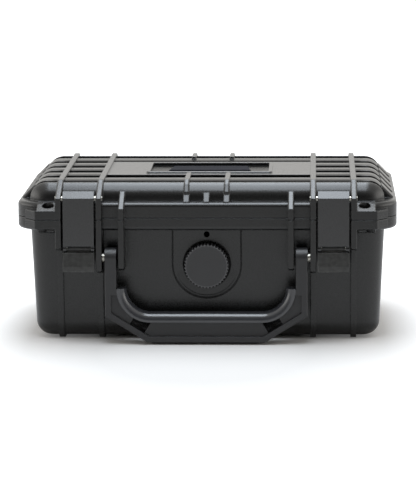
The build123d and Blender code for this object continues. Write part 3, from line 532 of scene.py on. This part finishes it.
def recolour(material, mask, factor, shine):
    """Multiplies the material's colour by a factor and sets its specular level, where the mask is 1."""
    tree = material.node_tree
    surface = next(n for n in tree.nodes if n.type == "BSDF_PRINCIPLED")
    colour = surface.inputs["Base Color"].links[0].from_socket
    level = surface.inputs["Specular IOR Level"]
    changed = node(tree, "ShaderNodeVectorMath", operation="SCALE")
    changed.inputs["Scale"].default_value = factor
    mixed = node(tree, "ShaderNodeMix", data_type="RGBA")
    gloss = node(tree, "ShaderNodeMix", {"A": level.default_value, "B": shine}, data_type="FLOAT")
    for link in level.links:
        tree.links.new(link.from_socket, gloss.inputs["A"])
    wire(
        tree,
        (colour, changed.inputs[0]),
        (colour, mixed.inputs["A"]),
        (changed.outputs[0], mixed.inputs["B"]),
        (mask, mixed.inputs["Factor"]),
        (mask, gloss.inputs["Factor"]),
        (mixed.outputs["Result"], surface.inputs["Base Color"]),
        (gloss.outputs["Result"], level),
    )


def turned_steel(name, dark, light):
    """Bright steel pins with fine drawn lines round them."""
    material, tree, surface = empty_material(name)
    place = node(tree, "ShaderNodeTexCoord")
    lines = node(tree, "ShaderNodeTexWave", {"Scale": 900.0, "Distortion": 1.5, "Detail": 2.0})
    lines.bands_direction = "X"
    clouds = use_group(tree, CLOUDS, Cloud_Size=3 * MM)
    tone = colour_mix(tree, dark, light)
    shine = node(tree, "ShaderNodeMapRange", {"To Min": 0.28, "To Max": 0.45})
    bump = node(tree, "ShaderNodeBump", {"Strength": 0.25, "Distance": 0.01 * MM})
    surface.inputs["Metallic"].default_value = 1.0
    wire(
        tree,
        (place.outputs["Object"], lines.inputs["Vector"]),
        (clouds.outputs["Tone"], tone.inputs["Factor"]),
        (tone.outputs["Result"], surface.inputs["Base Color"]),
        (lines.outputs["Fac"], shine.inputs["Value"]),
        (shine.outputs["Result"], surface.inputs["Roughness"]),
        (lines.outputs["Fac"], bump.inputs["Height"]),
        (bump.outputs["Normal"], surface.inputs["Normal"]),
    )
    return material


def open_foam(name, dark, light, cell):
    """Open-cell foam: rounded cells with painted shade in their pores, no shine."""
    material, tree, surface = empty_material(name)
    place = node(tree, "ShaderNodeTexCoord")
    cells = node(tree, "ShaderNodeTexVoronoi", {"Scale": 1 / cell, "Randomness": 1.0})
    fuzz = node(tree, "ShaderNodeTexNoise", {"Scale": 2.5 / cell, "Detail": 3.0})
    clouds = use_group(tree, CLOUDS, Cloud_Size=25 * MM)
    # painted shade: the pores between the cells are darker
    pore_shade = node(tree, "ShaderNodeMapRange", {"From Min": 0.1, "From Max": 0.55})
    height = node(tree, "ShaderNodeMath", operation="ADD")
    both = node(tree, "ShaderNodeMath", operation="MULTIPLY")
    tone = colour_mix(tree, light, dark)
    bump = node(tree, "ShaderNodeBump", {"Strength": 0.9, "Distance": 0.35 * MM})
    bump.invert = True
    surface.inputs["Roughness"].default_value = 0.95
    surface.inputs["Specular IOR Level"].default_value = 0.15
    wire(
        tree,
        (place.outputs["Object"], cells.inputs["Vector"]),
        (place.outputs["Object"], fuzz.inputs["Vector"]),
        (cells.outputs["Distance"], pore_shade.inputs["Value"]),
        (pore_shade.outputs["Result"], both.inputs[0]),
        (clouds.outputs["Tone"], both.inputs[1]),
        (both.outputs[0], tone.inputs["Factor"]),
        (tone.outputs["Result"], surface.inputs["Base Color"]),
        (cells.outputs["Distance"], height.inputs[0]),
        (fuzz.outputs["Fac"], height.inputs[1]),
        (height.outputs[0], bump.inputs["Height"]),
        (bump.outputs["Normal"], surface.inputs["Normal"]),
    )
    return material


CASE_LOOK = {
    "dark": (0.006, 0.006, 0.006),
    "light": (0.0105, 0.0105, 0.0105),
    "rough": 0.27,
    "grain": 0.35 * MM,
    "depth": 0.02 * MM,
    "soft": 0.8 * MM,
}
SATIN_LOOK = {
    "dark": (0.021, 0.021, 0.022),
    "light": (0.028, 0.028, 0.03),
    "grain": 0.3 * MM,
    "depth": 0.015 * MM,
}
CASE = moulded_plastic("case_plastic", **CASE_LOOK)
LID = moulded_plastic("lid_plastic", **CASE_LOOK)
BOW = moulded_plastic("bow_plastic", rough=0.34, specular=0.4, **SATIN_LOOK)
KNOB = moulded_plastic("knob_plastic", rough=0.32, **SATIN_LOOK)
LATCH = moulded_plastic(
    "latch_plastic",
    dark=(0.008, 0.008, 0.0085),
    light=(0.013, 0.013, 0.0145),
    rough=0.26,
    grain=0.3 * MM,
    depth=0.015 * MM,
    specular=0.75,
)
LEVER = moulded_plastic(
    "scuffed_plastic",
    dark=(0.0, 0.0, 0.0),
    light=(0.056, 0.056, 0.054),
    rough=0.45,
    grain=0.9 * MM,
    depth=0.12 * MM,
    # painted highlight beside rubbed wear: the lever's edges show four and a half times the light tone
    wear=1.0,
    cloud=2.2 * MM,
    edge=4.5,
)
GRIP = moulded_plastic(
    "grip_plastic",
    dark=(0.026, 0.027, 0.031),
    light=(0.034, 0.035, 0.04),
    rough=0.2,
    grain=0.3 * MM,
    depth=0.004 * MM,
    specular=0.75,
    wear=0.1,
)
FITTING = moulded_plastic(
    "fitting_plastic",
    dark=(0.012, 0.012, 0.013),
    light=(0.02, 0.02, 0.021),
    rough=0.45,
    grain=0.4 * MM,
    depth=0.02 * MM,
)
RUBBER = moulded_plastic(
    "seal_rubber",
    dark=(0.008, 0.008, 0.008),
    light=(0.014, 0.014, 0.014),
    rough=0.65,
    grain=0.5 * MM,
    depth=0.02 * MM,
    specular=0.3,
    wear=0.1,
)
BADGE = moulded_plastic(
    "badge_plate",
    dark=(0.004, 0.005, 0.01),
    light=(0.007, 0.009, 0.018),
    rough=0.5,
    grain=0.6 * MM,
    depth=0.004 * MM,
    specular=0.02,
    wear=0.2,
)
MEMBRANE = moulded_plastic(
    "membrane_cloth",
    dark=(0.6, 0.6, 0.6),
    light=(0.72, 0.72, 0.72),
    rough=0.8,
    grain=0.2 * MM,
    depth=0.05 * MM,
    specular=0.3,
    wear=0.0,
)
STEEL = turned_steel("pin_steel", dark=(0.4, 0.39, 0.36), light=(0.62, 0.6, 0.53))
FOAM = open_foam("open_foam", dark=(0.008, 0.008, 0.009), light=(0.05, 0.05, 0.054), cell=1.1 * MM)

KNOB_LOW, KNOB_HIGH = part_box("valve_knob")
KNOB_MIDDLE = (KNOB_LOW + KNOB_HIGH) / 2
KNOB_RADIUS = (KNOB_HIGH.x - KNOB_LOW.x) / 2
VENT_RISE = 17 * MM
VENT_RADIUS = 1.6 * MM
HOLE_HALF_DEPTH = 5 * MM
# the knob's rim gets a painted highlight: a paler, shinier band this wide
RIM_HIGHLIGHT_WIDTH = 1.3 * MM
RIM_HIGHLIGHT_FULL = 0.5 * MM             # how far in from the edge the painted highlight on the rim reaches its full tone


def paint_valve_shade_and_highlight():
    """Painted shade in the vent hole and on the case behind the knob's notched edge, and a painted
    highlight:
    a paler, shinier band round the knob's rim.
    """
    tree = CASE.node_tree
    vent_middle = KNOB_MIDDLE + Vector((0, 0, VENT_RISE))
    hole_shade_mask = node(tree, "ShaderNodeMath", operation="MAXIMUM")
    for slot, (middle, radius) in enumerate(((vent_middle, VENT_RADIUS), (KNOB_MIDDLE, KNOB_RADIUS))):
        hole = use_group(tree, HOLE, Middle=middle, Radius=radius, Half_Depth=HOLE_HALF_DEPTH)
        wire(tree, (hole.outputs["Inside"], hole_shade_mask.inputs[slot]))
    # painted shade: the vent hole and the case behind the knob's notches turn near black, without shine
    recolour(CASE, hole_shade_mask.outputs[0], factor=0.03, shine=0.0)
    # painted highlight: a paler, shinier band round the knob's rim
    inner, outer = KNOB_RADIUS - RIM_HIGHLIGHT_WIDTH, KNOB_RADIUS - RIM_HIGHLIGHT_FULL
    rim = use_group(KNOB.node_tree, RING, Middle=KNOB_MIDDLE, Inner=inner, Outer=outer)
    recolour(KNOB, rim.outputs["Ring"], factor=2.4, shine=0.8)


LID_SKIN = 88.5 * MM            # the height of the crests, ribs and panel
RIDGES = {"Half_Length": 86 * MM, "Half_Width": 56.5 * MM}
FLANK_DROP, CREST_DROP = 0.32 * MM, 0.01 * MM
TOP_DROP, TOP_EDGE_DROP = 0.005 * MM, 0.03 * MM


def paint_ridge_shade_and_highlight():
    """Painted shade on the flanks between the crests of the lid's ridges, darker and less shiny, and a
    painted highlight on the tops of its crests, ribs and panel, paler and shinier.
    """
    tree = LID.node_tree
    # painted shade: darker, less shiny flanks between the crests
    shaded_flanks = use_group(tree, HEIGHTS, Full=LID_SKIN - FLANK_DROP, Zero=LID_SKIN - CREST_DROP, **RIDGES)
    recolour(LID, shaded_flanks.outputs["Band"], factor=0.6, shine=0.07)
    # painted highlight: paler, shinier tops on the crests, ribs and panel
    lit_tops = use_group(tree, HEIGHTS, Full=LID_SKIN - TOP_DROP, Zero=LID_SKIN - TOP_EDGE_DROP, **RIDGES)
    recolour(LID, lit_tops.outputs["Band"], factor=1.6, shine=0.9)


paint_valve_shade_and_highlight()
paint_ridge_shade_and_highlight()

NODE_MATERIALS = {
    "base_shell": CASE,
    "lid_shell": LID,
    "hinge_pins": STEEL,
    "handle_pins": STEEL,
    "latch_pins": STEEL,
    "lever_pin_left": STEEL,
    "lever_pin_right": STEEL,
    "latch_clasp_left": LATCH,
    "latch_clasp_right": LATCH,
    "latch_lever_left": LEVER,
    "latch_lever_right": LEVER,
    "handle_bow": BOW,
    "handle_grip": GRIP,
    "valve_knob": KNOB,
    "valve_bush": FITTING,
    "valve_nut": FITTING,
    "valve_clip": FITTING,
    "valve_membrane": MEMBRANE,
    "valve_o_ring": RUBBER,
    "lid_gasket": RUBBER,
    "label_plate": BADGE,
}

for node_name, finish in NODE_MATERIALS.items():
    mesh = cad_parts[node_name].data
    mesh.materials.clear()
    mesh.materials.append(finish)

# ---------------------------------------------------------------- foam

TUB_DRAFT = math.tan(math.radians(2.8))
SMALLEST_CORNER = 0.3 * MM
TRAY_CORNER = 9.5 * MM
TRAY_EDGE = 1.5 * MM
TRAY_FOOT_EDGE = 0.5 * MM

POCKET_CORNER = 7 * MM
POCKET_FLOOR_EDGE = 1.2 * MM
CUT_OVER = 0.5 * MM             # how much wider than its lip a cutter is above the foam
CUT_RISE = 1 * MM

DRONE_MIDDLE = (-34 * MM, 0)
DRONE_SIZE = (104 * MM, 98 * MM)
DRONE_DEPTH = 44 * MM
CELL_X = 57 * MM
CELL_PITCH = 36 * MM
CELL_SIZE = (50 * MM, 26 * MM)
CELL_DEPTH = 34 * MM
SCOOP_MIDDLE = (18 * MM, 0)
SCOOP_RADIUS = 11 * MM
SCOOP_DEPTH = 26 * MM
VALVE_ROOM_RADIUS = 18 * MM
VALVE_ROOM_Y = (-70 * MM, -56.4 * MM)

PAD_CORNER = 8 * MM
PAD_TOP_EDGE = 0.5 * MM
PAD_FOOT_EDGE = 3 * MM

CRATE_CORNER = 6.6 * MM
CRATE_PITCH = 19 * MM
CRATE_SWING = 6.5 * MM          # from the hollows to the tips
CRATE_LIFT = 0.1 * MM
CRATE_FADE = 5 * MM             # the bumps flatten this near the edge
CRATE_CROWN = 4.6 * MM          # the rounding of the upper edge, under the lid
CRATE_GRID = 1.4 * MM


def rounded_loop(half_x, half_y, corner, steps=7):
    """Points round a rectangle with arc corners, anticlockwise: each corner's centre plus its radius times
    the cosine and sine of angles over a quarter turn."""
    quarter = np.linspace(0, math.pi / 2, steps)
    angles = np.concatenate([quarter + k * math.pi / 2 for k in range(4)])
    side_x = np.repeat([1, -1, -1, 1], steps) * (half_x - corner)
    side_y = np.repeat([1, 1, -1, -1], steps) * (half_y - corner)
    return np.stack([side_x + corner * np.cos(angles), side_y + corner * np.sin(angles)], axis=1)


def loft(name, rings, centre=(0, 0)):
    """A closed skin over rings from the bottom up: each is a height and a loop of equally many points."""
    levels = [np.column_stack([loop + centre, np.full(len(loop), z)]) for z, loop in rings]
    points = np.concatenate(levels)
    count = len(rings[0][1])
    ring = np.arange(len(rings) - 1)[:, None] * count
    here, after = np.arange(count), np.roll(np.arange(count), -1)
    quads = np.stack([ring + here, ring + after, ring + count + after, ring + count + here], axis=-1)
    ends = [list(range(count))[::-1], list(range(len(points) - count, len(points)))]
    faces = quads.reshape(-1, 4).tolist() + ends
    mesh = bpy.data.meshes.new(name)
    mesh.from_pydata(points.tolist(), [], faces)
    piece = bpy.data.objects.new(name, mesh)
    scene.collection.objects.link(piece)
    return piece


def arc_rings(half_x, half_y, corner, edge, z_flat, direction, steps=5):
    """Rings from a wall over a rounded edge to the flat: inset and height follow the cosine and sine of a
    quarter turn. The direction is 1 for an upper edge and -1 for a lower one."""
    turn = np.linspace(0, math.pi / 2, steps)
    inset = edge * (1 - np.cos(turn))
    height = z_flat - direction * edge * (1 - np.sin(turn))
    corners = np.maximum(corner - inset, SMALLEST_CORNER)
    return [(z, rounded_loop(half_x - i, half_y - i, c)) for z, i, c in zip(height, inset, corners)]


def cut_away(piece, cutters):
    """The piece without the cutters' room; the cutters go."""
    for cutter in cutters:
        cut = piece.modifiers.new("cut", "BOOLEAN")
        cut.operation = "DIFFERENCE"
        cut.solver = "EXACT"
        cut.object = cutter
    bpy.context.view_layer.update()
    cut_piece = piece.evaluated_get(bpy.context.evaluated_depsgraph_get())
    result = bpy.data.meshes.new_from_object(cut_piece)
    piece.modifiers.clear()
    piece.data = result
    for cutter in cutters:
        bpy.data.objects.remove(cutter)


def pocket_cutter(name, centre, size, corner, top, depth, lip):
    """A pocket's room, with a lip that flares out at the top by a quarter circle."""
    half_x, half_y = size[0] / 2, size[1] / 2
    turn = np.linspace(0, math.pi / 2, 6)
    flare = lip * (1 - np.cos(turn))
    height = top - lip * (1 - np.sin(turn))
    rings = arc_rings(half_x, half_y, corner, POCKET_FLOOR_EDGE, top - depth, -1)[::-1]
    rings += [(z, rounded_loop(half_x + f, half_y + f, corner + f)) for z, f in zip(height, flare)]
    over = lip + CUT_OVER
    rings += [(top + CUT_RISE, rounded_loop(half_x + over, half_y + over, corner + over))]
    return loft(name, rings, centre)


def finish_foam(piece, node, body):
    """Foam look and place for a piece that stands for a foam node."""
    piece.data.materials.clear()
    piece.data.materials.append(FOAM)
    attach(piece, body)
    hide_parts(node)


def foam_block(name, node, corner, top_edge, bottom_edge):
    """A block as large as its node, with drafted sides and soft upper and lower edges."""
    low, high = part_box(node)
    fall = TUB_DRAFT * (high.z - low.z)
    lower = (high.x - fall, high.y - fall, corner - fall)
    rings = arc_rings(*lower, bottom_edge, low.z, -1)[::-1]
    rings += arc_rings(high.x, high.y, corner, top_edge, high.z, 1)
    return loft(name, rings)


def make_tray():
    """The cut foam: a large pocket with a finger scoop, small pockets in a row and room for the valve."""
    tray = foam_block("foam_tray", "base_foam", TRAY_CORNER, TRAY_EDGE, TRAY_FOOT_EDGE)
    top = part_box("base_foam")[1].z
    pockets = [("cut_drone", DRONE_MIDDLE, DRONE_SIZE, POCKET_CORNER, DRONE_DEPTH)]
    for row in (-1, 0, 1):
        middle = (CELL_X, row * CELL_PITCH)
        pockets.append((f"cut_cell_{row + 1}", middle, CELL_SIZE, POCKET_CORNER, CELL_DEPTH))
    scoop_size = (2 * SCOOP_RADIUS, 2 * SCOOP_RADIUS)
    pockets.append(("cut_scoop", SCOOP_MIDDLE, scoop_size, SCOOP_RADIUS, SCOOP_DEPTH))
    cutters = [
        pocket_cutter(name, middle, size, corner, top, depth, TRAY_EDGE)
        for name, middle, size, corner, depth in pockets
    ]
    valve_loop = rounded_loop(VALVE_ROOM_RADIUS, VALVE_ROOM_RADIUS, VALVE_ROOM_RADIUS)
    room = loft("cut_valve", [(y, valve_loop) for y in VALVE_ROOM_Y])
    upright = Matrix.Rotation(-math.pi / 2, 4, "X")
    room.data.transform(Matrix.Translation((0, 0, KNOB_MIDDLE.z)) @ upright)
    cutters.append(room)
    cut_away(tray, cutters)
    finish_foam(tray, "base_foam", "base")


def make_pad():
    """The plain pad under the tray."""
    pad = foam_block("foam_pad", "base_foam_pad", PAD_CORNER, PAD_TOP_EDGE, PAD_FOOT_EDGE)
    finish_foam(pad, "base_foam_pad", "base")


def round_off(x, y, half_x, half_y, corner):
    """Grid points of a rectangle moved into one with arc corners: in a corner's square, the larger of a
    point's two distances from the corner's centre becomes its radius."""
    over_x = np.maximum(np.abs(x) - (half_x - corner), 0)
    over_y = np.maximum(np.abs(y) - (half_y - corner), 0)
    inside = (over_x > 0) & (over_y > 0)
    length = np.where(inside, np.hypot(over_x, over_y), 1)
    scale = np.where(inside, np.maximum(over_x, over_y) / length, 1)
    new_x = np.where(inside, np.sign(x) * (half_x - corner + over_x * scale), x)
    new_y = np.where(inside, np.sign(y) * (half_y - corner + over_y * scale), y)
    return new_x, new_y


def crate_faces(index, rim, band_count):
    """Faces of the lid foam: the bumpy grid, the same grid above it turned over, and bands of quads between
    their rims. Points come in that order: lower grid, upper grid, then one ring for each band."""
    size = index.size
    cell = np.stack([index[:-1, :-1], index[1:, :-1], index[1:, 1:], index[:-1, 1:]], -1).reshape(-1, 4)
    rings = [2 * size + n * len(rim) + np.arange(len(rim)) for n in range(band_count)]
    bands = [rim, *rings, rim + size]
    sides = [np.stack([a, np.roll(a, -1), np.roll(b, -1), b], -1) for a, b in zip(bands[:-1], bands[1:])]
    return np.concatenate([cell, cell[:, ::-1] + size, *sides]).tolist()


def make_egg_crate():
    """The lid's foam: bumps whose height is the product of two cosine waves, across and along the lid. Its
    upper edge is rounded by a quarter turn's cosine and sine, to fit the lid's."""
    low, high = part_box("lid_foam")
    half_x, half_y = high.x, high.y
    count_x, count_y = round(2 * half_x / CRATE_GRID), round(2 * half_y / CRATE_GRID)
    x, y = np.meshgrid(np.linspace(-half_x, half_x, count_x), np.linspace(-half_y, half_y, count_y))
    wave = np.cos(2 * math.pi * x / CRATE_PITCH) * np.cos(2 * math.pi * y / CRATE_PITCH)
    edge = np.minimum(half_x - np.abs(x), half_y - np.abs(y))
    fade = np.clip(edge / CRATE_FADE, 0, 1)
    bumps = low.z + CRATE_LIFT + CRATE_SWING * (0.5 - 0.5 * wave * fade)
    flat_x, flat_y = round_off(x, y, half_x, half_y, CRATE_CORNER)
    shrink = 1 - CRATE_CROWN / np.array([half_x, half_y])
    upper = np.stack([flat_x * shrink[0], flat_y * shrink[1], np.full_like(x, high.z)], -1).reshape(-1, 3)
    lower = np.stack([flat_x, flat_y, bumps], -1).reshape(-1, 3)
    index = np.arange(x.size).reshape(x.shape)
    rim = np.concatenate([index[0, :-1], index[:-1, -1], index[-1, :0:-1], index[:0:-1, 0]])
    walls = []
    for angle in np.linspace(0, math.pi / 2, 5)[:-1]:
        ring = lower[rim].copy()
        ring[:, :2] *= 1 - (1 - math.cos(angle)) * (1 - shrink)
        ring[:, 2] = high.z - CRATE_CROWN * (1 - math.sin(angle))
        walls.append(ring)
    faces = crate_faces(index, rim, len(walls))
    mesh = bpy.data.meshes.new("foam_lid")
    mesh.from_pydata(np.concatenate([lower, upper, *walls]).tolist(), [], faces)
    mesh.polygons.foreach_set("use_smooth", np.ones(len(faces), bool))
    piece = bpy.data.objects.new("foam_lid", mesh)
    scene.collection.objects.link(piece)
    finish_foam(piece, "lid_foam", "lid")


make_tray()
make_pad()
make_egg_crate()
